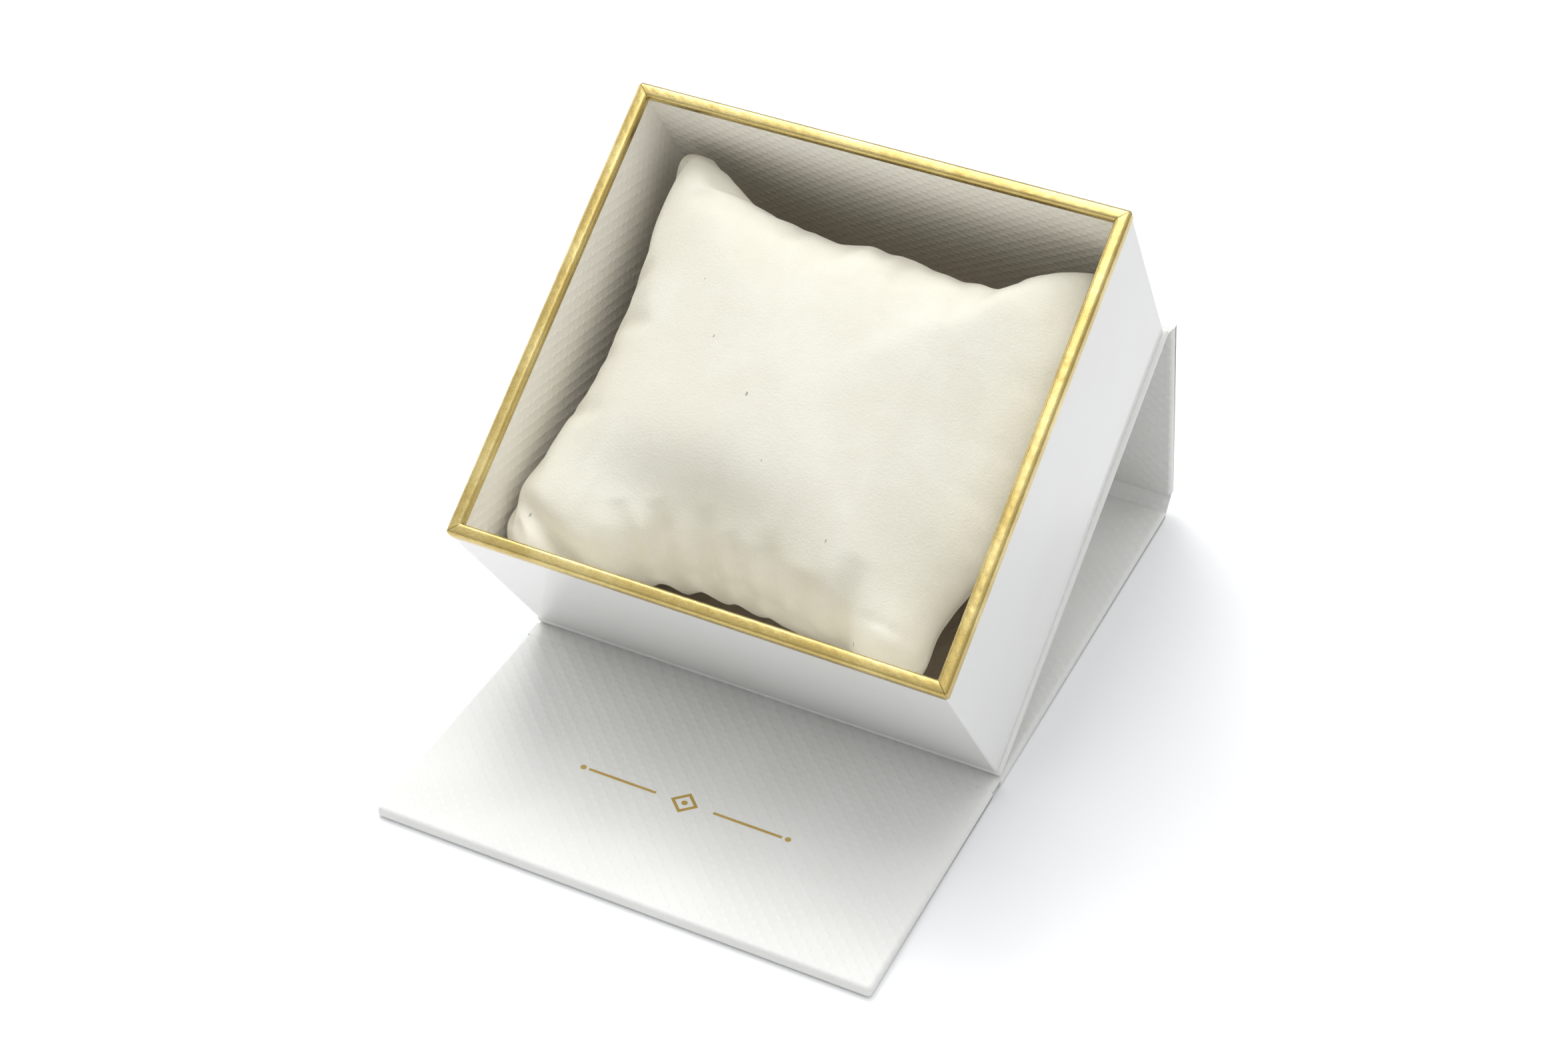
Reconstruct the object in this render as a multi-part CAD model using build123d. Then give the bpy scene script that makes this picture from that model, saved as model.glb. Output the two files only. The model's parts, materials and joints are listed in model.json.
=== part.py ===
"""Jewellery gift box with a wrap-around easel cover, modelled in its display pose.

The rigid tray stands on the base panel of a four-panel card cover. Every panel is joined to the
next by a narrow paper strip with a crease along each side. For display the cover is folded
backwards: lid and flap lie flat on the table, outer faces up, the spine is the rear leg, and the
base leans with its front edge on the flap.

Frame: millimetres, +Z up, Z = 0 on the table, X across the box, +Y to the back, origin under the
middle of the whole object.
"""
import os
from math import acos, atan2, cos, degrees, pi, sin, sqrt

from build123d import *

# ---------------------------------------------------------------- driving dimensions, millimetres
# tray, measured over its gilt edge
TRAY_WIDTH = 91.0
TRAY_DEPTH = 86.8
TRAY_HEIGHT = 50.4
TRAY_BOARD = 1.6
TRAY_CORNER_R = 0.7
# papers
WRAP = 0.2
LINER = 0.2
# gilt edge strip that caps the tray walls
EDGE_SKIN = 0.2
EDGE_CROWN = 0.6
EDGE_ROUND = 1.0
EDGE_DROP_OUTSIDE = 1.6
EDGE_DROP_INSIDE = 1.0
EDGE_SEAM = 0.12
# cover panels
COVER_OVERHANG = 0.5
PANEL_BOARD = 2.0
PANEL_ROUND = 0.8
TURN_IN = 3.0
FLAP_LIFT = 1.0
# creased paper strips between the panels
STRIP_WIDTH = 3.1
STRIP_THICKNESS = 0.4
CREASE_GAP = 0.25
# closing fits
LID_FIT = 0.3
FLAP_FIT = 0.3
# display pose: the base stands on the lid's flat, a hair clear of it
FOOT_GAP = 0.05
# magnets that hold the flap to the tray front
MAGNET_R = 4.0
MAGNET_THICKNESS = 1.0
MAGNET_SPACING = 56.0
MAGNET_RISE = 12.0
MAGNET_FIT = 0.05
# gilt rule and lozenge on the flap
RULE_LENGTH = 13.0
RULE_WIDTH = 0.55
RULE_OFFSET = 5.5
LOZENGE_HALF = 2.6
LOZENGE_BORDER = 0.55
FOIL = 0.05
ORNAMENT_FROM_HINGE = 27.0
# cushion
CUSHION_SIDE_GAP = 0.5
CUSHION_BACK_GAP = 6.0
CUSHION_FLOOR_GAP = 0.3
CUSHION_BELOW_RIM = 9.0
CUSHION_CORNER_R = 9.0
CUSHION_TOP_R = 8.0
CUSHION_BASE_R = 3.0
VELVET = 0.8

# ---------------------------------------------------------------- sizes that follow from them
PANEL = PANEL_BOARD + WRAP + LINER
COVER_WIDTH = TRAY_WIDTH + 2 * COVER_OVERHANG
WALL = EDGE_SKIN + WRAP + TRAY_BOARD + LINER
WALL_TOP = TRAY_HEIGHT - EDGE_CROWN
PIVOT_DEPTH = STRIP_THICKNESS / 2
FOLD_LEG = STRIP_WIDTH / sqrt(2)

BASE_LENGTH = TRAY_DEPTH
LID_LENGTH = TRAY_DEPTH + FLAP_FIT + PANEL - CREASE_GAP - FOLD_LEG - PIVOT_DEPTH
SPINE_LENGTH = (
    TRAY_HEIGHT + 2 * PANEL + LID_FIT - 2 * FOLD_LEG - 2 * PIVOT_DEPTH - 2 * CREASE_GAP
)
FLAP_LENGTH = PIVOT_DEPTH + FOLD_LEG + CREASE_GAP + SPINE_LENGTH - FLAP_LIFT
HALF_GROOVE = STRIP_WIDTH / 2 + CREASE_GAP
ANGLE_ROUNDS = 40


def heading_vector(heading):
    """Unit vector in the Y-Z plane at an angle above +Y."""
    return Vector(0, cos(heading), sin(heading))


def inner_normal(heading):
    """Unit vector from the outer to the inner face of a panel with this heading."""
    return Vector(0, -sin(heading), cos(heading))


def foot_corner(base):
    """Sharp corner of the base's front edge, whose rounding stands on the flat of the lid."""
    centre = Vector(0, HALF_GROOVE + PANEL_ROUND, PANEL + FOOT_GAP + PANEL_ROUND)
    return centre - PANEL_ROUND * (heading_vector(base) + inner_normal(base))


def display_angles():
    """Headings of base and spine that close the easel triangle over the lid.

    The two long sides are base and spine; the third runs from the foot to the lid's rear crease,
    less the two short strips, whose headings halve each fold. Strips and foot depend only weakly
    on the headings, so repeating the cosine rule settles quickly.
    """
    base_side = BASE_LENGTH + CREASE_GAP
    spine_side = SPINE_LENGTH + 2 * CREASE_GAP
    rear_crease = Vector(
        0, HALF_GROOVE + LID_LENGTH + CREASE_GAP, PANEL - PIVOT_DEPTH
    )
    base, spine = pi / 5, -pi / 3
    for _ in range(ANGLE_ROUNDS):
        near_crease = foot_corner(base) + PIVOT_DEPTH * inner_normal(base)
        strips = STRIP_WIDTH * (
            heading_vector((base + spine) / 2) + heading_vector((spine - pi) / 2)
        )
        reach = rear_crease - near_crease - strips
        bearing = atan2(reach.Z, reach.Y)
        run = reach.length
        base = bearing + acos(
            (base_side**2 + run**2 - spine_side**2) / (2 * base_side * run)
        )
        spine = bearing - acos(
            (spine_side**2 + run**2 - base_side**2) / (2 * spine_side * run)
        )
    return base, spine


class Link:
    """One rigid link of the cover: its frame has X across, Y along the chain, Z to the inner face."""

    def __init__(self, start, heading, length):
        self.start = start
        self.heading = heading
        self.length = length
        self.plane = Plane(
            origin=start, x_dir=Vector(1, 0, 0), z_dir=inner_normal(heading)
        )

    def point(self, along, inward=0.0):
        """A point of the link, along the chain and inwards from its outer face."""
        return (
            self.start
            + along * heading_vector(self.heading)
            + inward * inner_normal(self.heading)
        )

    def place(self, solid):
        """Move a solid drawn in the link's frame to its place in the display pose."""
        return self.plane.location * solid


def panel_after(pivot, heading, length):
    """A panel whose near crease is the given pivot."""
    start = (
        pivot
        + CREASE_GAP * heading_vector(heading)
        - PIVOT_DEPTH * inner_normal(heading)
    )
    return Link(start, heading, length)


def strip_after(panel, heading):
    """The creased strip beyond a panel's far edge, starting on its near crease."""
    pivot = panel.point(panel.length + CREASE_GAP, PIVOT_DEPTH)
    return Link(pivot, heading, STRIP_WIDTH)


def cover_chain():
    """Base, spine, lid and flap with the strips between them, in the display pose."""
    base_heading, spine_heading = display_angles()
    base = Link(foot_corner(base_heading), base_heading, BASE_LENGTH)
    back = strip_after(base, (base_heading + spine_heading) / 2)
    spine = panel_after(back.point(STRIP_WIDTH), spine_heading, SPINE_LENGTH)
    heel = strip_after(spine, (spine_heading - pi) / 2)
    lid = panel_after(heel.point(STRIP_WIDTH), -pi, LID_LENGTH)
    groove = strip_after(lid, -pi)
    flap = panel_after(groove.point(STRIP_WIDTH), -pi, FLAP_LENGTH)
    return {
        "base": base,
        "back_strip": back,
        "spine": spine,
        "heel_strip": heel,
        "lid": lid,
        "groove_strip": groove,
        "flap": flap,
    }


def block(x0, x1, y0, y1, z0, z1):
    """A box between two corners."""
    return Pos((x0 + x1) / 2, (y0 + y1) / 2, (z0 + z1) / 2) * Box(
        x1 - x0, y1 - y0, z1 - z0
    )


def slab(width, y0, y1, z0, z1):
    """A box centred across X."""
    return block(-width / 2, width / 2, y0, y1, z0, z1)


# ---------------------------------------------------------------- cover panels
def panel_pieces(length):
    """Board, outer paper with turned-in margins, and liner of one cover panel, in its own frame."""
    board = slab(COVER_WIDTH - 2 * WRAP, WRAP, length - WRAP, WRAP, PANEL - LINER)
    board = fillet(board.edges(), PANEL_ROUND - WRAP)
    wrap = slab(COVER_WIDTH, 0, length, 0, PANEL)
    wrap = fillet(wrap.edges(), PANEL_ROUND)
    liner = slab(
        COVER_WIDTH - 2 * TURN_IN, TURN_IN, length - TURN_IN, PANEL - LINER, PANEL
    )
    return board, wrap - board - liner, liner


def strip_piece():
    """Creased paper strip: a flat web with a round bead on each crease axis."""
    web = slab(COVER_WIDTH, 0, STRIP_WIDTH, -PIVOT_DEPTH, PIVOT_DEPTH)
    bead = Rot(0, 90, 0) * Cylinder(PIVOT_DEPTH, COVER_WIDTH)
    return web + bead + Pos(0, STRIP_WIDTH, 0) * bead


def magnet_discs(y, z):
    """The pair of magnet discs with axes along Z, lowest faces at z."""
    disc = Cylinder(
        MAGNET_R, MAGNET_THICKNESS, align=(Align.CENTER, Align.CENTER, Align.MIN)
    )
    return [Pos(side * MAGNET_SPACING / 2, y, z) * disc for side in (-1, 1)]


def magnet_pockets(y, z):
    """Pockets for the discs, wider by the fit and open on the lower side."""
    pocket = Cylinder(
        MAGNET_R + MAGNET_FIT,
        MAGNET_THICKNESS + MAGNET_FIT,
        align=(Align.CENTER, Align.CENTER, Align.MIN),
    )
    return [Pos(side * MAGNET_SPACING / 2, y, z) * pocket for side in (-1, 1)]


def foil_ornament():
    """A lozenge outline with a dot inside, between two short rules, standing proud of the flap."""
    lift = Pos(0, ORNAMENT_FROM_HINGE, -FOIL)
    outer = Rot(0, 0, 45) * Rectangle(sqrt(2) * LOZENGE_HALF, sqrt(2) * LOZENGE_HALF)
    inner_half = LOZENGE_HALF - sqrt(2) * LOZENGE_BORDER
    inner = Rot(0, 0, 45) * Rectangle(sqrt(2) * inner_half, sqrt(2) * inner_half)
    pieces = [extrude(outer - inner, FOIL), extrude(Circle(LOZENGE_BORDER), FOIL)]
    for side in (-1, 1):
        middle = side * (RULE_OFFSET + RULE_LENGTH / 2)
        pieces.append(Pos(middle, 0, 0) * extrude(Rectangle(RULE_LENGTH, RULE_WIDTH), FOIL))
        end = side * (RULE_OFFSET + RULE_LENGTH + 2 * RULE_WIDTH)
        pieces.append(Pos(end, 0, 0) * extrude(Circle(RULE_WIDTH), FOIL))
    return [lift * p for p in pieces]


# ---------------------------------------------------------------- tray, in the base panel's frame
def ring_box(inset, z0, z1):
    """The tray's outline drawn in by an inset, as a block with rounded upright edges."""
    solid = slab(TRAY_WIDTH - 2 * inset, inset, TRAY_DEPTH - inset, z0, z1)
    radius = max(TRAY_CORNER_R - inset, 0.1)
    return fillet(solid.edges().filter_by(Axis.Z), radius)


def sharp_box(inset, z0, z1):
    """The tray's outline drawn in by an inset, as a square-cornered block."""
    return slab(TRAY_WIDTH - 2 * inset, inset, TRAY_DEPTH - inset, z0, z1)


def mitre_sector(side, seam, z0, z1):
    """The part of the outline that belongs to one wall, cut at 45 degrees in the corners."""
    half = TRAY_WIDTH / 2
    reach = 4 * WALL
    step = seam / sqrt(2)
    if side in ("front", "back"):
        outline = [
            (-half + step, 0),
            (half - step, 0),
            (half - step - reach, reach),
            (-half + step + reach, reach),
        ]
        if side == "back":
            outline = [(x, TRAY_DEPTH - y) for x, y in outline]
    else:
        outline = [
            (half, step),
            (half, TRAY_DEPTH - step),
            (half - reach, TRAY_DEPTH - step - reach),
            (half - reach, step + reach),
        ]
        if side == "left":
            outline = [(-x, y) for x, y in outline]
    face = make_face(Polyline(outline, close=True))
    return Pos(0, 0, z0) * extrude(face, amount=z1 - z0, dir=(0, 0, 1))


SIDES = ("front", "back", "left", "right")


def tray_walls():
    """The four wall boards, mitred in the corners, standing on the outer paper."""
    outside = EDGE_SKIN + WRAP
    ring = ring_box(outside, WRAP, WALL_TOP) - sharp_box(
        outside + TRAY_BOARD, -1, TRAY_HEIGHT
    )
    walls = {}
    for side in SIDES:
        walls[side] = ring & mitre_sector(side, 0, 0, TRAY_HEIGHT)
    return walls


def tray_liners():
    """Embossed liner card on the inside of each wall, standing on the floor board."""
    outside = EDGE_SKIN + WRAP + TRAY_BOARD
    foot = WRAP + TRAY_BOARD
    ring = sharp_box(outside, foot, WALL_TOP) - sharp_box(outside + LINER, -1, TRAY_HEIGHT)
    liners = {}
    for side in SIDES:
        liners[side] = ring & mitre_sector(side, 0, 0, TRAY_HEIGHT)
    return liners


def tray_outer_wrap():
    """Glossy paper around the outside of the walls and under the floor."""
    return ring_box(EDGE_SKIN, 0, WALL_TOP) - ring_box(
        EDGE_SKIN + WRAP, WRAP, TRAY_HEIGHT
    )


def gilt_edges():
    """Moulded gilt strip that caps each wall: rounded crown, short skirts in and out."""
    low = TRAY_HEIGHT - EDGE_CROWN - max(EDGE_DROP_OUTSIDE, EDGE_DROP_INSIDE)
    outside = ring_box(0, low, TRAY_HEIGHT)
    outside = fillet(outside.faces().sort_by(Axis.Z)[-1].edges(), EDGE_ROUND)
    cavity = sharp_box(WALL + EDGE_SKIN, low - 1, TRAY_HEIGHT + 1)
    ring = outside - cavity
    top = ring.faces().sort_by(Axis.Z)[-1]
    half = TRAY_WIDTH / 2 - WALL - EDGE_SKIN
    rim = [e for e in top.edges() if max(abs(e.center().X) - half, 0) < 0.01]
    inner = [e for e in rim if WALL < e.center().Y < TRAY_DEPTH - WALL]
    ring = fillet(inner, EDGE_ROUND - EDGE_SKIN)
    seat = ring_box(EDGE_SKIN, low - 1, WALL_TOP) - sharp_box(WALL, low - 2, WALL_TOP + 1)
    ring -= seat
    ring -= sharp_box(WALL, low - 1, WALL_TOP - EDGE_DROP_INSIDE)
    edges = {}
    for side in SIDES:
        edges[side] = ring & mitre_sector(side, EDGE_SEAM, 0, TRAY_HEIGHT + 1)
    return edges


# ---------------------------------------------------------------- cushion, in the base panel's frame
def cushion_body(shrink):
    """A plump block, drawn in by a shrink on every side."""
    side = WALL + CUSHION_SIDE_GAP + shrink
    floor = WRAP + TRAY_BOARD + LINER + CUSHION_FLOOR_GAP + shrink
    solid = slab(
        TRAY_WIDTH - 2 * side,
        side,
        TRAY_DEPTH - WALL - CUSHION_BACK_GAP - shrink,
        floor,
        TRAY_HEIGHT - CUSHION_BELOW_RIM - shrink,
    )
    solid = fillet(solid.edges().filter_by(Axis.Z), CUSHION_CORNER_R - shrink)
    solid = fillet(solid.faces().sort_by(Axis.Z)[-1].edges(), CUSHION_TOP_R - shrink)
    return fillet(solid.faces().sort_by(Axis.Z)[0].edges(), CUSHION_BASE_R - shrink)


def build():
    """Every piece in its node, placed in the display pose."""
    links = cover_chain()
    nodes = {}
    for name in ("base", "spine", "lid", "flap"):
        link = links[name]
        board, wrap, liner = panel_pieces(link.length)
        if name == "flap":
            seat = link.length - MAGNET_RISE
            inner = PANEL - LINER - MAGNET_THICKNESS
            for pocket in magnet_pockets(seat, inner - MAGNET_FIT):
                board -= pocket
            nodes["flap_magnets"] = [
                link.place(disc) for disc in magnet_discs(seat, inner - MAGNET_FIT / 2)
            ]
            nodes["flap_foil_ornament"] = [link.place(p) for p in foil_ornament()]
        nodes[f"{name}_board"] = link.place(board)
        nodes[f"{name}_outer_wrap"] = link.place(wrap)
        nodes[f"{name}_liner"] = link.place(liner)
    for name in ("back_strip", "heel_strip", "groove_strip"):
        nodes[f"{name}_paper"] = links[name].place(strip_piece())

    tray = Link(links["base"].point(0, PANEL), links["base"].heading, TRAY_DEPTH)
    walls = tray_walls()
    rise = PIVOT_DEPTH + FOLD_LEG + CREASE_GAP + SPINE_LENGTH - FLAP_LENGTH + MAGNET_RISE - PANEL
    front = Pos(0, EDGE_SKIN + WRAP, rise) * Rot(-90, 0, 0)
    for pocket in magnet_pockets(0, 0):
        walls["front"] -= front * pocket
    nodes["tray_magnets"] = [
        tray.place(front * disc) for disc in magnet_discs(0, MAGNET_FIT / 2)
    ]
    for side, wall in walls.items():
        nodes[f"tray_{side}_board"] = tray.place(wall)
    for side, liner in tray_liners().items():
        nodes[f"tray_{side}_liner"] = tray.place(liner)
    for side, edge in gilt_edges().items():
        nodes[f"gilt_edge_{side}"] = tray.place(edge)
    nodes["tray_outer_wrap"] = tray.place(tray_outer_wrap())
    wall_inside = EDGE_SKIN + WRAP + TRAY_BOARD
    floor_top = WRAP + TRAY_BOARD
    nodes["tray_floor_board"] = tray.place(sharp_box(wall_inside, WRAP, floor_top))
    nodes["tray_floor_liner"] = tray.place(
        sharp_box(WALL, floor_top, floor_top + LINER)
    )
    cover, filling = cushion_body(0), cushion_body(VELVET)
    nodes["cushion_cover"] = tray.place(cover - filling)
    nodes["cushion_filling"] = tray.place(filling)
    return nodes


def write(nodes):
    """One STEP file for each node, centred on the whole object's footprint."""
    os.makedirs("parts", exist_ok=True)
    shapes = {
        name: Compound(piece) if isinstance(piece, list) else piece
        for name, piece in nodes.items()
    }
    boxes = [shape.bounding_box() for shape in shapes.values()]
    middle = (min(b.min.Y for b in boxes) + max(b.max.Y for b in boxes)) / 2
    for name, shape in shapes.items():
        export_step(Pos(0, -middle, 0) * shape, f"parts/{name}.step")
    return middle


if __name__ == "__main__":
    write(build())
    print("display angles", [round(degrees(a), 3) for a in display_angles()])
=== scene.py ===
"""Looks of the jewellery gift box: an open rigid tray with a gilt edge and a velvet cushion,
standing on its wrap-around easel cover.

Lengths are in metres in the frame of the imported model: X across the box, +Y to the back, +Z up.
A cover link has its own frame: across is X, along runs down the chain of panels, and inward runs
from the panel's outer face to its inner face.
"""
import json
import logging
import math
from dataclasses import dataclass
from enum import Enum
from typing import Sequence, Union

import bmesh
import bpy
import numpy as np
from mathutils import Euler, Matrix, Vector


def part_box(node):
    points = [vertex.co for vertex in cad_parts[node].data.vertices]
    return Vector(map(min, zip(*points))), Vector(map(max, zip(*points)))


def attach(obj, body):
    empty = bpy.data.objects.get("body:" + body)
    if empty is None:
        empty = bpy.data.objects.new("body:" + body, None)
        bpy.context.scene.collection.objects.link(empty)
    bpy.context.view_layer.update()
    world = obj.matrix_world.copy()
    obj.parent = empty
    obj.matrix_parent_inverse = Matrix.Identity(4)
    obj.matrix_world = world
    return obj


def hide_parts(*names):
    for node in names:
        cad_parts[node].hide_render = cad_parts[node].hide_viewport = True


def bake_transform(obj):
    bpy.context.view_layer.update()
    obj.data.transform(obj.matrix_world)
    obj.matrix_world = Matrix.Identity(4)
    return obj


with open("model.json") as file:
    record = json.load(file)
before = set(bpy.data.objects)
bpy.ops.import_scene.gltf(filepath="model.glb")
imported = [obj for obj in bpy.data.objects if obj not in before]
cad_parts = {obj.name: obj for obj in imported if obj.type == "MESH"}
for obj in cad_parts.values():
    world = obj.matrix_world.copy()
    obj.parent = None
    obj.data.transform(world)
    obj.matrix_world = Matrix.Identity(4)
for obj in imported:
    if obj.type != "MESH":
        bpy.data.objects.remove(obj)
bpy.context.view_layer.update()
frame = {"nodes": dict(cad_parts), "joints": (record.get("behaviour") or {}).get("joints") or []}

MM = 0.001
SHEET_MAP = "sheet"
SHEET_UNIT = 0.1

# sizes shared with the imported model
PANEL = 2.4 * MM
COVER_WIDTH = 92.0 * MM
CREASE_GAP = 0.25 * MM
PIVOT_DEPTH = 0.2 * MM
STRIP_WIDTH = 3.1 * MM
TRAY_WIDTH = 91.0 * MM
TRAY_DEPTH = 86.8 * MM
TRAY_HEIGHT = 50.4 * MM
RIM_WIDTH = 2.4 * MM

# the embossed paper's dots, the run of a bend past its crease, the fold that is shaded sharp
DOT_PITCH = 2.92 * MM
BEND_REACH = 2.4 * CREASE_GAP
SHARP_FOLD = math.radians(38)

# ranges that hold most, and nearly all, of the values of a fractal noise
CORE = (0.3, 0.7)
SPAN = (0.2, 0.8)

Colour = tuple[float, float, float]
Point = tuple[float, float, float]
Socket = bpy.types.NodeSocket
Value = Union[float, Socket]
Inputs = dict[Union[str, int], object]

log = logging.getLogger("gift_box")


# --- cover links
@dataclass(frozen=True)
class LinkFrame:
    """Place of one rigid link of the cover: the first edge of its outer face, and its heading.

    The heading is the angle above +Y in the Y-Z plane in which the link runs on from that edge.
    """

    start_y: float
    start_z: float
    heading: float
    length: float

    def place(self, across: np.ndarray, along: np.ndarray, inward: np.ndarray) -> np.ndarray:
        """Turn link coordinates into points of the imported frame.

        Along is laid off on (cos h, sin h) and inward on (-sin h, cos h) in the Y-Z plane.

        Args:
            across: Offsets along X.
            along: Offsets down the chain.
            inward: Offsets from the outer face to the inner face.

        Returns:
            Points, with the three coordinates on the last axis.
        """
        cos, sin = math.cos(self.heading), math.sin(self.heading)
        y = self.start_y + along * cos - inward * sin
        z = self.start_z + along * sin + inward * cos
        return np.stack(np.broadcast_arrays(across, y, z), axis=-1)

    def point(self, along: float, inward: float = 0.0) -> Point:
        """One point of the link in the middle of its width."""
        return tuple(float(v) for v in self.place(np.float64(0.0), along, inward))


def directions(heading: float) -> tuple[np.ndarray, np.ndarray]:
    """Unit directions along and inward of a link with this heading, as (y, z)."""
    cos, sin = math.cos(heading), math.sin(heading)
    return np.array([cos, sin]), np.array([-sin, cos])


def joint_row(name: str) -> dict:
    """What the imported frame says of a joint."""
    return next(joint for joint in frame["joints"] if joint["name"] == name)


def joint_place(name: str) -> np.ndarray:
    """Position of a crease axis, as (y, z)."""
    return np.array(joint_row(name)["pos_m"][1:], float)


def tray_heading() -> float:
    """Tilt of the base panel, from the direction in which the cushion lifts out."""
    axis = joint_row("cushion_lift")["axis"]
    return math.atan2(axis[1], -axis[2])


def link_between(first: np.ndarray, last: np.ndarray, gap: float, depth: float) -> LinkFrame:
    """Link whose two creases are given.

    Args:
        first: Crease at its start, as (y, z).
        last: Crease at its end.
        gap: Distance from each crease to the link's edge.
        depth: How far inward of its outer face the creases lie.

    Returns:
        The link's frame.
    """
    run = last - first
    heading = math.atan2(run[1], run[0])
    forward, inward = directions(heading)
    start = first + gap * forward - depth * inward
    return LinkFrame(start[0], start[1], heading, float(np.hypot(*run)) - 2 * gap)


def cover_links() -> dict[str, LinkFrame]:
    """Frames of the four panels, the three creased strips and the tray, at rest."""
    top = joint_place("back_to_base_crease")
    back = joint_place("spine_to_back_crease")
    heel = joint_place("heel_to_spine_crease")
    rear = joint_place("lid_to_heel_crease")
    groove = joint_place("lid_to_groove_crease")
    hinge = joint_place("groove_to_flap_crease")
    tilt = tray_heading()
    forward, inward = directions(tilt)
    foot = top - (TRAY_DEPTH + CREASE_GAP) * forward - PIVOT_DEPTH * inward
    seat = foot + PANEL * inward
    free_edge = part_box("flap_outer_wrap")[0][1]
    flap_start = hinge[0] - CREASE_GAP
    return {
        "base": LinkFrame(foot[0], foot[1], tilt, TRAY_DEPTH),
        "tray": LinkFrame(seat[0], seat[1], tilt, TRAY_DEPTH),
        "back": link_between(top, back, 0.0, PIVOT_DEPTH),
        "spine": link_between(back, heel, CREASE_GAP, PIVOT_DEPTH),
        "heel": link_between(heel, rear, 0.0, PIVOT_DEPTH),
        "lid": link_between(rear, groove, CREASE_GAP, PIVOT_DEPTH),
        "groove": link_between(groove, hinge, 0.0, PIVOT_DEPTH),
        "flap": LinkFrame(flap_start, PANEL, -math.pi, flap_start - free_edge),
    }


# --- mesh making
def tube_quads(rows: int, columns: int) -> tuple[np.ndarray, np.ndarray]:
    """Quads of a grid of points whose last row joins the first one.

    The quad at row r and column c joins the points (r, c), (r, c+1), (r+1, c+1) and (r+1, c).

    Args:
        rows: Rows of points.
        columns: Columns of points.

    Returns:
        Point numbers of each quad, and the (row, column) of each of its corners, in which a
        closing row keeps its own number, so that a map doesn't run backwards there.
    """
    r, c = np.meshgrid(np.arange(rows), np.arange(columns - 1), indexing="ij")
    r, c = r.ravel(), c.ravel()
    corner_rows = np.stack([r, r, r + 1, r + 1], axis=1)
    corner_columns = np.stack([c, c + 1, c + 1, c], axis=1)
    quads = (corner_rows % rows) * columns + corner_columns
    return quads, np.stack([corner_rows, corner_columns], axis=-1)


def placed(name: str, data: bpy.types.ID) -> bpy.types.Object:
    """New object at the scene's origin."""
    obj = bpy.data.objects.new(name, data)
    bpy.context.scene.collection.objects.link(obj)
    return obj


def sheet_solid(name: str, points: np.ndarray, u: np.ndarray, v: np.ndarray) -> bpy.types.Object:
    """Closed solid from a loop of points carried along a row of sections, with flat ends.

    Args:
        name: Name of the piece.
        points: Points on [loop, section, xyz].
        u: Sheet coordinate of each section, in metres.
        v: Sheet coordinate of each loop point and of the closing one, in metres.

    Returns:
        The object, at the origin, with its sheet map.
    """
    rows, columns = points.shape[:2]
    quads, corners = tube_quads(rows, columns)
    first = np.arange(rows) * columns
    faces = [*quads.tolist(), first.tolist(), (first + columns - 1)[::-1].tolist()]
    loop_u = np.concatenate([u[corners[..., 1]].ravel(), np.full(rows, u[0]), np.full(rows, u[-1])])
    loop_v = np.concatenate([v[corners[..., 0]].ravel(), v[:-1], v[:-1][::-1]])
    mesh = bpy.data.meshes.new(name)
    mesh.from_pydata(points.reshape(-1, 3), [], faces)
    layer = mesh.uv_layers.new(name=SHEET_MAP)
    layer.data.foreach_set("uv", np.stack([loop_u, loop_v], axis=1).ravel() / SHEET_UNIT)
    face_outwards(mesh)
    mesh.shade_smooth()
    mesh.set_sharp_from_angle(angle=SHARP_FOLD)
    return placed(name, mesh)


def face_outwards(mesh: bpy.types.Mesh) -> None:
    """Turn every face of a closed mesh outwards."""
    work = bmesh.new()
    work.from_mesh(mesh)
    bmesh.ops.recalc_face_normals(work, faces=work.faces)
    work.to_mesh(mesh)
    work.free()


def arc(centre: Sequence[float], radius: float, start: float, end: float, steps: int) -> np.ndarray:
    """Points on a circular arc between two angles in degrees."""
    turn = np.radians(np.linspace(start, end, steps))
    return np.stack([centre[0] + radius * np.cos(turn), centre[1] + radius * np.sin(turn)], axis=1)


def run_lengths(loop: np.ndarray) -> np.ndarray:
    """Distance travelled at each point of a closed loop, and back at the first one."""
    step = np.linalg.norm(np.roll(loop, -1, axis=0) - loop, axis=1)
    return np.concatenate([[0.0], np.cumsum(step)])


# --- finishes
def opaque(colour: Colour) -> tuple[float, float, float, float]:
    """A colour with full alpha."""
    return (*colour, 1.0)


class Nodes:
    """The node tree of a material or a world while it is laid out."""

    def __init__(self, owner: Union[bpy.types.Material, bpy.types.World]) -> None:
        """Start with an empty tree."""
        owner.use_nodes = True
        self.tree = owner.node_tree
        self.tree.nodes.clear()

    def fill(self, node: bpy.types.Node, inputs: Inputs) -> None:
        """Give a node's sockets, by name or number, a value or another node's socket."""
        for key, value in inputs.items():
            if isinstance(value, bpy.types.NodeSocket):
                self.tree.links.new(value, node.inputs[key])
            else:
                node.inputs[key].default_value = value

    def node(self, kind: str, inputs: Inputs, **settings: object) -> bpy.types.Node:
        """Add a node.

        Args:
            kind: Blender's name of the node type.
            inputs: Values or other nodes' sockets for its own sockets.
            settings: The node's own settings.

        Returns:
            The node.
        """
        made = self.tree.nodes.new(kind)
        for key, value in settings.items():
            setattr(made, key, value)
        self.fill(made, inputs)
        return made


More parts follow.
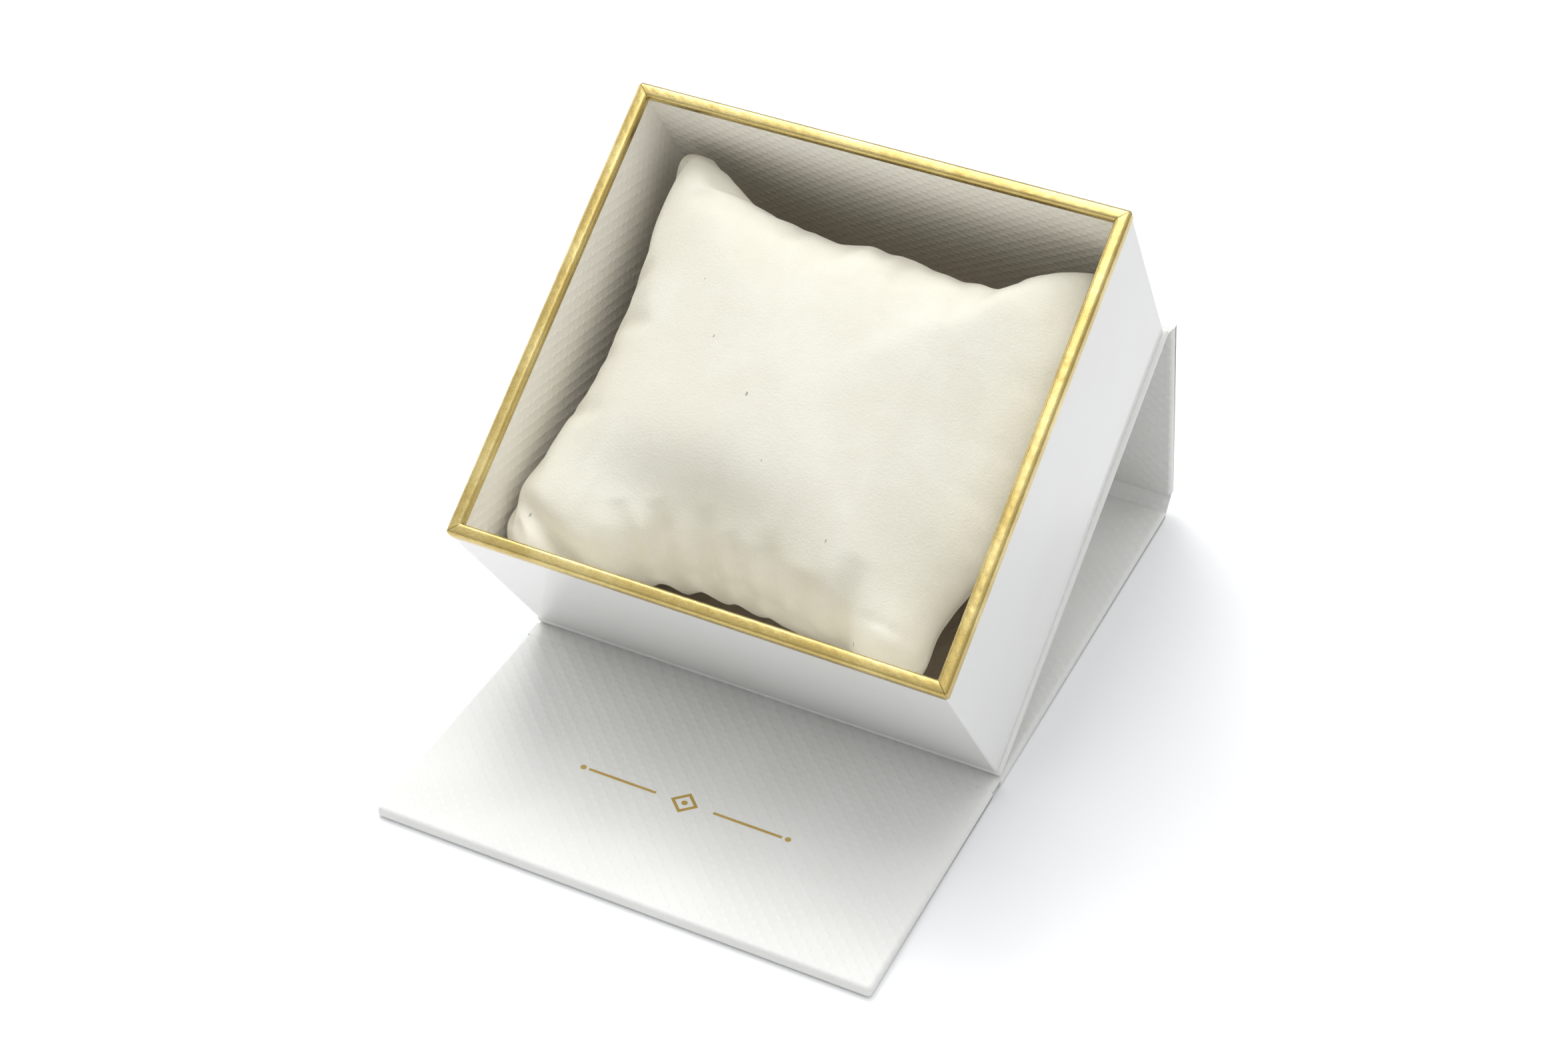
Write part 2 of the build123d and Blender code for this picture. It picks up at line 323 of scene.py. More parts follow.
class Bench(Nodes):
    """A material's node tree, with its shader."""

    def __init__(self, name: str) -> None:
        """Start a material with its shader and output."""
        self.material = bpy.data.materials.new(name)
        super().__init__(self.material)
        self.shader = self.node("ShaderNodeBsdfPrincipled", {})
        self.node("ShaderNodeOutputMaterial", {"Surface": self.shader.outputs["BSDF"]})

    def math(self, operation: str, first: Value, second: Value = 0.0) -> Socket:
        """Result of one sum on two values."""
        return self.node("ShaderNodeMath", {0: first, 1: second}, operation=operation).outputs[0]

    def ramp(self, value: Value, *ends: float) -> Socket:
        """Value carried smoothly from one range, its first two ends, to another, or to 0 to 1."""
        inputs = dict(enumerate((value, *ends)))
        node = self.node("ShaderNodeMapRange", inputs, interpolation_type="SMOOTHSTEP")
        return node.outputs["Result"]

    def blend(self, share: Value, first: object, second: object) -> Socket:
        """Mix of two colours."""
        sides = [opaque(side) if isinstance(side, tuple) else side for side in (first, second)]
        inputs = {0: share, 6: sides[0], 7: sides[1]}
        return self.node("ShaderNodeMix", inputs, data_type="RGBA").outputs[2]

    def noise(self, place: Socket, scale: float, detail: float = 3.0) -> Socket:
        """Fractal noise from 0 to 1 at a place."""
        inputs = {"Vector": place, "Scale": scale, "Detail": detail}
        return self.node("ShaderNodeTexNoise", inputs).outputs[0]

    def body_place(self, tilt: float = 0.0) -> Socket:
        """Place on the object, turned about X so that the tray's tilt is taken out."""
        source = self.node("ShaderNodeTexCoord", {}).outputs["Object"]
        turned = self.node("ShaderNodeMapping", {"Vector": source, "Rotation": (-tilt, 0.0, 0.0)})
        return turned.outputs[0]

    def sheet_place(self) -> Socket:
        """Place on the flat sheet, in metres."""
        source = self.node("ShaderNodeUVMap", {}, uv_map=SHEET_MAP).outputs[0]
        return self.stretched(source, (SHEET_UNIT,) * 3)

    def stretched(self, place: Socket, scale: Point) -> Socket:
        """A place with each coordinate scaled."""
        return self.node("ShaderNodeMapping", {"Vector": place, "Scale": scale}).outputs[0]

    def bump(self, height: Socket, distance: float) -> Socket:
        """Normal of a surface raised by a height from 0 to 1."""
        inputs = {"Height": height, "Distance": distance, "Strength": 1.0}
        return self.node("ShaderNodeBump", inputs).outputs[0]

    def shade(self, inputs: Inputs) -> bpy.types.Material:
        """Set the shader's sockets and return the material."""
        self.fill(self.shader, inputs)
        return self.material


class PatternOn(Enum):
    """Where a finish reads its pattern: two axes, and whether of the flat sheet or of the tray."""

    SHEET = ("X", "Y", True)
    CROSS_WALL = ("X", "Z", False)
    SIDE_WALL = ("Y", "Z", False)
    FLOOR = ("X", "Y", False)


@dataclass(frozen=True)
class EmbossedPaper:
    """White paper pressed with small leaning dots in a staggered lattice. Its colour is painted
    lighter on the dots and darker between them, a painted highlight and painted shade, and its tone
    also varies at random.
    """

    name: str
    pattern: PatternOn = PatternOn.SHEET
    tilt: float = 0.0
    lean: float = -1.0
    colour: Colour = (0.82, 0.815, 0.79)
    # darker colour: painted shade between the dots, and the dark end of the paper's random mottling
    valley: Colour = (0.745, 0.74, 0.71)
    roughness: float = 0.5
    relief: float = 0.07 * MM
    strong: float = 0.62
    wander: float = 0.5 * MM
    wander_scale: float = 220.0
    cloud_scale: float = 55.0
    grain_scale: float = 5200.0
    grain_share: float = 0.16
    # how far the dots are painted lighter than the paper between them: a painted highlight
    painted_dot_light: float = 0.8
    cut: tuple[float, float] = (-0.15, 0.95)

    def lattice(self, bench: Bench, first: Socket, second: Socket) -> Socket:
        """Height of the dots.

        Two waves of the same pitch cross on the diagonals, k cos(2 pi (a + b) / pitch) and
        (1 - k) cos(2 pi (a - b) / pitch). Both peak on the points of a staggered lattice, and
        the stronger one draws the dots out along its crests. The sum is cut off below.

        Args:
            bench: The material's bench.
            first: First coordinate.
            second: Second coordinate.

        Returns:
            Height from 0 to 1.
        """
        turn = math.tau / DOT_PITCH
        second = bench.math("MULTIPLY", second, self.lean)
        waves = []
        for operation, strength in (("ADD", self.strong), ("SUBTRACT", 1 - self.strong)):
            run = bench.math("MULTIPLY", bench.math(operation, first, second), turn)
            waves.append(bench.math("MULTIPLY", bench.math("COSINE", run), strength))
        return bench.ramp(bench.math("ADD", *waves), *self.cut)

    def material(self) -> bpy.types.Material:
        """Build the material."""
        bench = Bench(self.name)
        first_axis, second_axis, on_sheet = self.pattern.value
        place = bench.sheet_place() if on_sheet else bench.body_place(self.tilt)
        parts = bench.node("ShaderNodeSeparateXYZ", {0: place}).outputs
        wander = bench.math("MULTIPLY", bench.noise(place, self.wander_scale, 2.0), self.wander)
        first = bench.math("ADD", parts[first_axis], wander)
        dots = self.lattice(bench, first, parts[second_axis])
        grain = bench.noise(bench.body_place(), self.grain_scale)
        cloud = bench.noise(bench.body_place(), self.cloud_scale, 2.0)
        height = bench.math("ADD", dots, bench.math("MULTIPLY", grain, self.grain_share))
        tone = bench.blend(bench.ramp(cloud, *CORE, 0.55, 1.0), self.valley, self.colour)
        rough = (self.roughness - 0.05, self.roughness + 0.08)
        return bench.shade(
            {
                # the dots take the full paper colour and the paper between them the darker mottled
                # tone: painted highlight and painted shade
                "Base Color": bench.blend(
                    bench.math("MULTIPLY", dots, self.painted_dot_light), tone, self.colour
                ),
                "Roughness": bench.ramp(grain, *SPAN, *rough),
                "IOR": 1.46,
                "Normal": bench.bump(height, self.relief),
            }
        )


@dataclass(frozen=True)
class CoatedPaper:
    """Smooth white coated paper, semi-gloss, with the faint orange peel of a wrapped board."""

    name: str
    colour: Colour = (0.80, 0.80, 0.785)
    warm: Colour = (0.785, 0.78, 0.755)
    roughness: float = 0.07
    relief: float = 0.004 * MM
    cloud_scale: float = 40.0
    peel_scale: float = 900.0
    fibre_scale: float = 6000.0
    fibre_share: float = 0.25

    def material(self) -> bpy.types.Material:
        """Build the material."""
        bench = Bench(self.name)
        place = bench.body_place()
        cloud = bench.noise(place, self.cloud_scale, 2.0)
        peel = bench.noise(place, self.peel_scale, 2.0)
        fibre = bench.noise(place, self.fibre_scale, 2.0)
        height = bench.math("ADD", peel, bench.math("MULTIPLY", fibre, self.fibre_share))
        return bench.shade(
            {
                "Base Color": bench.blend(bench.ramp(cloud, *CORE), self.warm, self.colour),
                "Roughness": bench.ramp(peel, *SPAN, self.roughness, self.roughness + 0.06),
                "IOR": 1.45,
                "Normal": bench.bump(height, self.relief),
            }
        )


@dataclass(frozen=True)
class GoldFoil:
    """Gold metallised paper: bright, slightly brushed, with dulled spots and worn high places."""

    name: str
    colour: Colour = (0.55, 0.41, 0.14)
    pale: Colour = (0.74, 0.60, 0.26)
    roughness: float = 0.23
    relief: float = 0.008 * MM
    cloud_scale: float = 120.0
    hammer_scale: float = 1100.0
    speck_scale: float = 4200.0
    stroke_scale: float = 5200.0
    stroke_squeeze: float = 0.16
    stroke_height: float = 0.9
    stroke_wear: float = 0.4

    def material(self) -> bpy.types.Material:
        """Build the material."""
        bench = Bench(self.name)
        place = bench.body_place()
        cloud = bench.noise(place, self.cloud_scale)
        hammer = bench.noise(place, self.hammer_scale, 2.0)
        speck = bench.noise(place, self.speck_scale, 2.0)
        along = bench.stretched(bench.sheet_place(), (self.stroke_squeeze, 1.0, 1.0))
        strokes = bench.noise(along, self.stroke_scale)
        height = bench.math("ADD", hammer, bench.math("MULTIPLY", strokes, self.stroke_height))
        worn = bench.math("MULTIPLY", cloud, 1 - self.stroke_wear)
        worn = bench.math("ADD", worn, bench.math("MULTIPLY", strokes, self.stroke_wear))
        return bench.shade(
            {
                "Base Color": bench.blend(bench.ramp(worn, 0.38, 0.66), self.colour, self.pale),
                "Metallic": 1.0,
                "Roughness": bench.ramp(speck, 0.25, 0.75, self.roughness, self.roughness + 0.16),
                "Normal": bench.bump(height, self.relief),
            }
        )


@dataclass(frozen=True)
class Velvet:
    """Cream short-pile velvet with soft mottling, a fine nap and a few stray lint specks."""

    name: str
    tilt: float
    colour: Colour = (0.815, 0.795, 0.70)
    deep: Colour = (0.755, 0.72, 0.61)
    lint: Colour = (0.16, 0.14, 0.13)
    sheen_tint: Colour = (1.0, 0.97, 0.9)
    relief: float = 0.10 * MM
    cloud_scale: float = 70.0
    nap_scale: float = 2600.0
    brush_scale: float = 420.0
    brush_height: float = 0.5
    lint_scale: float = 130.0
    lint_share: float = 0.3
    lint_squeeze: float = 0.55
    lint_radius: tuple[float, float] = (0.012, 0.03)
    lint_strength: float = 0.55

    def specks(self, bench: Bench) -> Socket:
        """Mask of the lint: the middles of some cells of a field laid flat over the tray."""
        level = bench.stretched(bench.body_place(self.tilt), (1.0, self.lint_squeeze, 1.0))
        inputs = {"Vector": level, "Scale": self.lint_scale, "Randomness": 1.0}
        cells = bench.node("ShaderNodeTexVoronoi", inputs, voronoi_dimensions="2D").outputs
        drawn = bench.node("ShaderNodeSeparateColor", {0: cells["Color"]}).outputs
        chosen = bench.math("LESS_THAN", drawn[0], self.lint_share)
        size = bench.ramp(drawn[1], 0.0, 1.0, *self.lint_radius)
        return bench.math("MULTIPLY", bench.math("LESS_THAN", cells["Distance"], size), chosen)

    def material(self) -> bpy.types.Material:
        """Build the material."""
        bench = Bench(self.name)
        place = bench.body_place()
        cloud = bench.noise(place, self.cloud_scale)
        nap = bench.noise(place, self.nap_scale, 4.0)
        brushed = bench.noise(place, self.brush_scale)
        tone = bench.blend(bench.ramp(cloud, *CORE, 0.35, 1.0), self.deep, self.colour)
        mottled = bench.blend(bench.ramp(brushed, 0.35, 0.75, 0.0, 0.22), tone, self.deep)
        specks = bench.math("MULTIPLY", self.specks(bench), self.lint_strength)
        height = bench.math("ADD", nap, bench.math("MULTIPLY", brushed, self.brush_height))
        return bench.shade(
            {
                "Base Color": bench.blend(specks, mottled, self.lint),
                "Roughness": 0.95,
                "IOR": 1.35,
                "Sheen Weight": 0.45,
                "Sheen Roughness": 0.45,
                "Sheen Tint": opaque(self.sheen_tint),
                "Normal": bench.bump(height, self.relief),
            }
        )


@dataclass(frozen=True)
class PlainFinish:
    """A hidden or plain material: one base colour broken up by grain."""

    name: str
    colour: Colour
    darker: Colour
    roughness: float
    grain: float
    metallic: float = 0.0
    relief: float = 0.03 * MM

    def material(self) -> bpy.types.Material:
        """Build the material."""
        bench = Bench(self.name)
        grain = bench.noise(bench.body_place(), self.grain, 4.0)
        return bench.shade(
            {
                "Base Color": bench.blend(bench.ramp(grain, *CORE), self.darker, self.colour),
                "Metallic": self.metallic,
                "Roughness": bench.ramp(grain, *SPAN, self.roughness, self.roughness + 0.1),
                "Normal": bench.bump(grain, self.relief),
            }
        )


class Finishes:
    """All the box's materials."""

    def __init__(self, tilt: float) -> None:
        """Build them for a tray with this tilt."""
        # the inside walls' paper is brighter and warmer than the cover's: painted light, standing
        # in for the warm light bounced round inside the tray
        inside = {"tilt": tilt, "colour": (0.98, 0.948, 0.87), "valley": (0.91, 0.868, 0.785)}
        across = {"relief": 0.13 * MM, "strong": 0.5}
        # the tray floor's paper is painted brown: painted shade for the deep gap behind the
        # cushion, where the floor is seen
        floor = {"tilt": tilt, "colour": (0.72, 0.61, 0.49), "valley": (0.67, 0.565, 0.45)}
        rich = {"colour": (0.62, 0.42, 0.12), "pale": (0.75, 0.55, 0.22), "roughness": 0.32}
        board = ((0.55, 0.53, 0.49), (0.42, 0.40, 0.37), 0.85, 2400.0)
        metal = ((0.62, 0.61, 0.60), (0.5, 0.49, 0.48), 0.25, 900.0, 1.0, 0.005 * MM)
        cross, side = PatternOn.CROSS_WALL, PatternOn.SIDE_WALL
        self.cover = EmbossedPaper("cover_paper").material()
        self.cross_wall = EmbossedPaper("wall_paper_across", cross, **inside, **across).material()
        self.side_wall = EmbossedPaper("wall_paper_along", side, lean=1.0, **inside).material()
        self.floor = EmbossedPaper("floor_paper", PatternOn.FLOOR, **floor).material()
        self.liner = CoatedPaper("liner_paper", roughness=0.42, relief=0.012 * MM).material()
        self.gloss = CoatedPaper("gloss_paper").material()
        self.foil = GoldFoil("gilt_foil").material()
        self.print_foil = GoldFoil("printed_foil", **rich).material()
        self.velvet = Velvet("cream_velvet", tilt).material()
        self.greyboard = PlainFinish("greyboard", *board).material()
        self.nickel = PlainFinish("nickel", *metal).material()


def dress(obj: bpy.types.Object, material: bpy.types.Material) -> None:
    """Give an object one material."""
    if obj.material_slots:
        for material_slot in obj.material_slots:
            material_slot.link = "OBJECT"
            material_slot.material = material
    else:
        obj.data.materials.append(material)


# --- cover
@dataclass(frozen=True)
class CoverPanel:
    """One board of the cover in embossed paper, square at its hinges and rounded elsewhere."""

    name: str
    link: LinkFrame
    body: str
    near_hinge: bool
    far_hinge: bool
    sheet_start: float
    edge_round: float = 0.8 * MM
    hinge_round: float = 0.06 * MM
    least_round: float = 0.02 * MM
    liner_step: float = 0.1 * MM
    arc_steps: int = 7

    def section(self, inset: float) -> np.ndarray:
        """Loop round the board in the along-inward plane, drawn in by an inset.

        It is a rectangle whose four corners are quarter circles, small on the outer face
        beside a hinge, where the strip runs on flush.

        Args:
            inset: How far the loop is drawn in.

        Returns:
            Points as (along, inward).
        """
        low, high = inset, PANEL - self.liner_step - inset
        near = 0.0 if self.near_hinge else inset
        far = self.link.length - (0.0 if self.far_hinge else inset)
        near_outer = self.hinge_round if self.near_hinge else self.edge_round
        far_outer = self.hinge_round if self.far_hinge else self.edge_round
        rounds = (near_outer, far_outer, self.edge_round, self.edge_round)
        r = [max(round_ - inset, self.least_round) for round_ in rounds]
        return np.concatenate(
            [
                arc((near + r[0], low + r[0]), r[0], 180, 270, self.arc_steps),
                arc((far - r[1], low + r[1]), r[1], 270, 360, self.arc_steps),
                arc((far - r[2], high - r[2]), r[2], 0, 90, self.arc_steps),
                arc((near + r[3], high - r[3]), r[3], 90, 180, self.arc_steps),
            ]
        )

    def build(self, finishes: Finishes) -> bpy.types.Object:
        """Make the wrapped board.

        The loop is carried across the width; over the last stretch on each side it follows a
        quarter circle, with x = half - R + R sin t and inset = R (1 - cos t).

        Args:
            finishes: The box's materials.

        Returns:
            The piece.
        """
        turn = np.linspace(math.pi / 2, 0, self.arc_steps)
        side = COVER_WIDTH / 2 - self.edge_round * (1 - np.sin(turn))
        across = np.concatenate([-side, side[::-1]])
        insets = self.edge_round * (1 - np.cos(turn))
        insets = np.concatenate([insets, insets[::-1]])
        loops = np.stack([self.section(float(v)) for v in insets], axis=1)
        points = self.link.place(across[None, :], loops[..., 0], loops[..., 1])
        v = self.sheet_start + run_lengths(self.section(0.0))
        obj = sheet_solid(f"{self.name}_wrap", points, across, v)
        dress(obj, finishes.cover)
        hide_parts(f"{self.name}_outer_wrap")
        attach(obj, self.body)
        return obj


class Half(Enum):
    """The two halves of a creased strip."""

    FIRST = 1
    LAST = 2


@dataclass(frozen=True)
class FoldHalf:
    """Half of a creased paper strip, from a panel's edge to the strip's middle.

    Its outer face carries on from the panel's in a smooth bend over the crease.
    """

    name: str
    half: Half
    panel: LinkFrame
    strip: LinkFrame
    bodies: tuple[str, str]
    replaced: str
    sheet_start: float
    thickness: float = 0.36 * MM
    steps: int = 14
    side_round: float = 0.12 * MM
    bevel: float = 0.3

    def outer_line(self) -> tuple[np.ndarray, np.ndarray]:
        """Outer face as (y, z) points from the panel's edge to the strip's middle.

        It is a quadratic curve (1-t)^2 P0 + 2 t (1-t) P1 + t^2 P2 whose middle point is the
        crease and whose ends run on into panel and strip.

        Returns:
            The points, and the unit directions from the outer face inwards.
        """
        if self.half is Half.FIRST:
            edge, crease, away = self.panel.length, 0.0, 1.0
        else:
            edge, crease, away = 0.0, STRIP_WIDTH, -1.0
        p0 = np.array(self.panel.point(edge)[1:])
        p1 = np.array(self.strip.point(crease)[1:])
        p2 = np.array(self.strip.point(crease + away * BEND_REACH)[1:])
        p3 = np.array(self.strip.point(STRIP_WIDTH / 2)[1:])
        t = np.linspace(0, 1, self.steps)[:, None]
        bend = (1 - t) ** 2 * p0 + 2 * t * (1 - t) * p1 + t**2 * p2
        line = np.concatenate([bend, p3[None, :]])
        slope = np.gradient(line, axis=0) * away
        slope /= np.linalg.norm(slope, axis=1, keepdims=True)
        inward = np.stack([-slope[:, 1], slope[:, 0]], axis=1)
        inward[0] = directions(self.panel.heading)[1]
        inward[-1] = directions(self.strip.heading)[1]
        return line, inward

    def build(self, finishes: Finishes) -> bpy.types.Object:
        """Make the half strip, its outer face curved over the crease.

        Args:
            finishes: The box's materials.

        Returns:
            The piece.
        """
        line, inward = self.outer_line()
        loop = np.concatenate([line, (line + self.thickness * inward)[::-1]])
        inset = self.side_round * np.array([1.0, self.bevel, 0.0, 0.0, self.bevel, 1.0])
        across = self.side_round * np.array([0.0, self.bevel, 1.0]) - COVER_WIDTH / 2
        across = np.concatenate([across, -across[::-1]])
        middle = (loop + loop[::-1]) / 2
        share = 1 - inset / (0.5 * self.thickness)
        places = middle[:, None, :] + (loop - middle)[:, None, :] * share[None, :, None]
        x = np.broadcast_to(across[None, :, None], (len(loop), len(across), 1))
        points = np.concatenate([x, places], axis=-1)
        away = 1.0 if self.half is Half.FIRST else -1.0
        v = self.sheet_start + away * run_lengths(loop)
        obj = sheet_solid(self.name, points, across, v)
        dress(obj, finishes.cover)
        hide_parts(self.replaced)
        if self.half is Half.FIRST:
            start = self.panel.point(self.panel.length)
            end = self.strip.point(BEND_REACH)
        else:
            start = self.strip.point(STRIP_WIDTH - BEND_REACH)
            end = self.panel.point(0.0)
        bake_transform(obj)
        return obj


@dataclass(frozen=True)
class Cover:
    """Base, spine, lid and flap with the folds between them."""

    links: dict[str, LinkFrame]
    finishes: Finishes

    def sheet_starts(self) -> dict[str, float]:
        """Where each link begins on the laid-out sheet, so that the dots run on over the folds."""
        starts, run = {}, 0.0
        for name in ("base", "back", "spine", "heel", "lid", "groove", "flap"):
            starts[name] = run
            run += self.links[name].length
        return starts

    def build(self) -> list[bpy.types.Object]:
        """Make every panel and fold and dress the boards and liners."""
        starts = self.sheet_starts()
        made = []
        panels = (
            ("base", "tray", False, True),
            ("spine", "spine", True, True),
            ("lid", "lid", True, True),
            ("flap", "flap", True, False),
        )
        for name, body, near, far in panels:
            panel = CoverPanel(name, self.links[name], body, near, far, starts[name])
            made.append(panel.build(self.finishes))
            dress(frame["nodes"][f"{name}_board"], self.finishes.greyboard)
            dress(frame["nodes"][f"{name}_liner"], self.finishes.liner)
        folds = (
            ("back", Half.LAST, "spine"),
            ("back", Half.FIRST, "base"),
            ("heel", Half.FIRST, "spine"),
            ("heel", Half.LAST, "lid"),
            ("groove", Half.FIRST, "lid"),
            ("groove", Half.LAST, "flap"),
        )
        for strip, half, panel in folds:
            first = half is Half.FIRST
            bodies = ("tray" if panel == "base" else panel, f"{strip}_strip")
            piece = FoldHalf(
                f"{strip}_fold_{panel}_side",
                half,
                self.links[panel],
                self.links[strip],
                bodies if first else bodies[::-1],
                f"{strip}_strip_paper",
                starts[strip if first else panel],
            )
            made.append(piece.build(self.finishes))
        dress(frame["nodes"]["flap_foil_ornament"], self.finishes.print_foil)
        dress(frame["nodes"]["flap_magnets"], self.finishes.nickel)
        return made


# --- tray
class Wall(Enum):
    """The tray's four walls."""

    FRONT = "front"
    BACK = "back"
    LEFT = "left"
    RIGHT = "right"

    def crosses(self) -> bool:
        """Whether it runs across the box."""
        return self in (Wall.FRONT, Wall.BACK)


@dataclass(frozen=True)
class GiltEdge:
    """Gold paper strip that caps one wall, mitred in the corners and pressed with dots."""

    wall: Wall
    link: LinkFrame
    skin: float = 0.2 * MM
    outer_drops: tuple[float, ...] = (2.2 * MM, 1.75 * MM, 1.3 * MM)
    inner_drops: tuple[float, ...] = (1.15 * MM, 1.6 * MM)
    seat_drop: float = 0.6 * MM
    crown_lift: float = 0.02 * MM
    outer_round: float = 0.8 * MM
    inner_round: float = 0.65 * MM
    corner_round: float = 0.7 * MM
    least_round: float = 0.1 * MM
    seam: float = 0.06 * MM
    press: float = 0.013 * MM
    press_range: tuple[float, float] = (0.35, 1.15)
    press_knots: int = 40
    drift: float = 0.5
    drift_knots: int = 24
    rising: float = 0.55
    step: float = 0.2 * MM
    end_steps: tuple[float, ...] = (0.0, 0.12, 0.25, 0.4, 0.6, 0.8)
    end_fade: float = 0.5 * MM
    seed: int = 11

    def half(self) -> float:
        """Half the wall's length."""
        return (TRAY_WIDTH if self.wall.crosses() else TRAY_DEPTH) / 2

    def profile(self) -> tuple[np.ndarray, np.ndarray]:
        """Loop of the strip's cross-section, and how strongly each point is pressed.

        Coordinates are the distance inward from the tray's outer face and the height.

        Returns:
            The points, and weights from 0 to 1.
        """
        top, outer, inner = TRAY_HEIGHT, self.outer_round, self.inner_round
        crown = np.linspace(outer, RIM_WIDTH - inner, 5)[1:-1]
        shown = np.concatenate(
            [
                [[0.0, top - drop] for drop in self.outer_drops],
                arc((outer, top - outer), outer, 180, 90, 12),
                [[place, top + self.crown_lift] for place in crown],
                arc((RIM_WIDTH - inner, top - inner), inner, 90, 0, 11),
                [[RIM_WIDTH, top - drop] for drop in self.inner_drops],
            ]
        )
        far_skin, seat = RIM_WIDTH - self.skin, top - self.seat_drop
        hidden = [
            [far_skin, top - self.inner_drops[-1]],
            [far_skin, seat],
            [self.skin, seat],
            [self.skin, top - self.outer_drops[0]],
        ]
        pressed = np.zeros(len(shown) + len(hidden))
        pressed[1 : len(shown) - 1] = 1.0
        return np.concatenate([shown, hidden]), pressed

    def outline(self, inset: np.ndarray, columns: np.ndarray) -> tuple[np.ndarray, np.ndarray]:
        """Path of the strip at a distance inside the tray's outline.

        The outline is a rectangle with rounded corners; this wall's part runs from the middle
        of one corner arc to the middle of the next, short of the mitre by the seam.

        Args:
            inset: Distance inside the outer face, one per profile point.
            columns: Place along the strip from -1 to 1.

        Returns:
            Offset along the wall from its middle, and distance inward, on [profile, column].
        """
        half = self.half()
        radius = np.maximum(self.corner_round - inset, self.least_round)[:, None]
        straight = half - inset[:, None] - radius
        reach = np.abs(columns)[None, :] * (straight + radius * math.pi / 4)
        turn = np.clip((reach - straight) / radius, 0, math.pi / 4)
        inward = inset[:, None] + radius * (1 - np.cos(turn))
        along = np.minimum(reach, straight) + radius * np.sin(turn)
        along = np.minimum(along, half - inward - self.seam)
        return along * np.sign(columns)[None, :], inward

    def build(self, finishes: Finishes) -> bpy.types.Object:
        """Make the strip.

        Its profile is carried along the outline, and each point is pushed along the profile's
        normal by the paper's lattice, k cos(2 pi (s + q) / pitch) + (1 - k) cos(2 pi (s - q) /
        pitch), where s is the run along the wall and q the run round the profile.

        Args:
            finishes: The box's materials.

        Returns:
            The piece.
        """
        loop, pressed = self.profile()
        half = self.half()
        middle = np.linspace(-1, 1, int(2 * half / self.step))
        near_end = 1 - np.array(self.end_steps) * MM / half
        middle = middle[np.abs(middle) < near_end[-1]]
        columns = np.unique(np.concatenate([middle, -near_end, near_end]))
        slope = np.gradient(loop, axis=0)
        slope /= np.linalg.norm(slope, axis=1, keepdims=True)
        into = np.stack([slope[:, 1], -slope[:, 0]], axis=1)
        s, q = columns * half, run_lengths(loop)
        random = np.random.default_rng(list(Wall).index(self.wall) + self.seed)
        knots = np.linspace(-half, half, self.drift_knots)
        drift = np.interp(s, knots, random.normal(0, 1, self.drift_knots)) * self.drift
        knots = np.linspace(-half, half, self.press_knots)
        uneven = np.interp(s, knots, random.uniform(*self.press_range, self.press_knots))
        run, round_it = s * math.tau / DOT_PITCH + drift, q[:-1, None] * math.tau / DOT_PITCH
        lattice = self.rising * np.cos(run + round_it) + (1 - self.rising) * np.cos(run - round_it)
        relief = self.press * pressed[:, None] * (np.clip(lattice, -0.3, 1.0) - 0.5) * uneven
        fade = np.clip((1 - np.abs(columns)) * half / self.end_fade, 0, 1)
        along, inward = self.outline(loop[:, 0], columns)
        inward = inward + relief * into[:, :1] * fade
        height = loop[:, 1:] + relief * into[:, 1:]
        x, y = {
            Wall.FRONT: (along, inward),
            Wall.BACK: (along, TRAY_DEPTH - inward),
            Wall.LEFT: (inward - TRAY_WIDTH / 2, along + TRAY_DEPTH / 2),
            Wall.RIGHT: (TRAY_WIDTH / 2 - inward, along + TRAY_DEPTH / 2),
        }[self.wall]
        obj = sheet_solid(f"gilt_strip_{self.wall.value}", self.link.place(x, y, height), s, q)
        dress(obj, finishes.foil)
        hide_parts(f"gilt_edge_{self.wall.value}")
        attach(obj, "tray")
        return obj


@dataclass(frozen=True)
class Tray:
    """The rigid tray: gilt strips made here, and boards and papers that the model already has."""

    link: LinkFrame
    finishes: Finishes

    def build(self) -> list[bpy.types.Object]:
        """Make the gilt strips and dress the rest."""
        finishes = self.finishes
        materials = {
            "tray_outer_wrap": finishes.gloss,
            "tray_floor_board": finishes.greyboard,
            "tray_floor_liner": finishes.floor,
            "tray_magnets": finishes.nickel,
        }
        for wall in Wall:
            materials[f"tray_{wall.value}_board"] = finishes.greyboard
            liner = finishes.cross_wall if wall.crosses() else finishes.side_wall
            materials[f"tray_{wall.value}_liner"] = liner
        for name, material in materials.items():
            dress(frame["nodes"][name], material)
        return [GiltEdge(wall, self.link).build(finishes) for wall in Wall]


# --- cushion
@dataclass(frozen=True)
class Dent:
    """A crease or pucker pressed into the cushion along a line, in the tray's frame, in mm."""

    start: tuple[float, float]
    end: tuple[float, float]
    width: float
    depth: float
    even: bool = False


CLOTH = {
    "quality": 6,
    "mass": 0.3,
    "tension_stiffness": 18,
    "compression_stiffness": 12,
    "shear_stiffness": 6,
    "bending_stiffness": 2.5,
    "shrink_min": -0.05,
    "use_pressure": True,
    "uniform_pressure_force": 4,
    "vertex_group_mass": "seam",
}


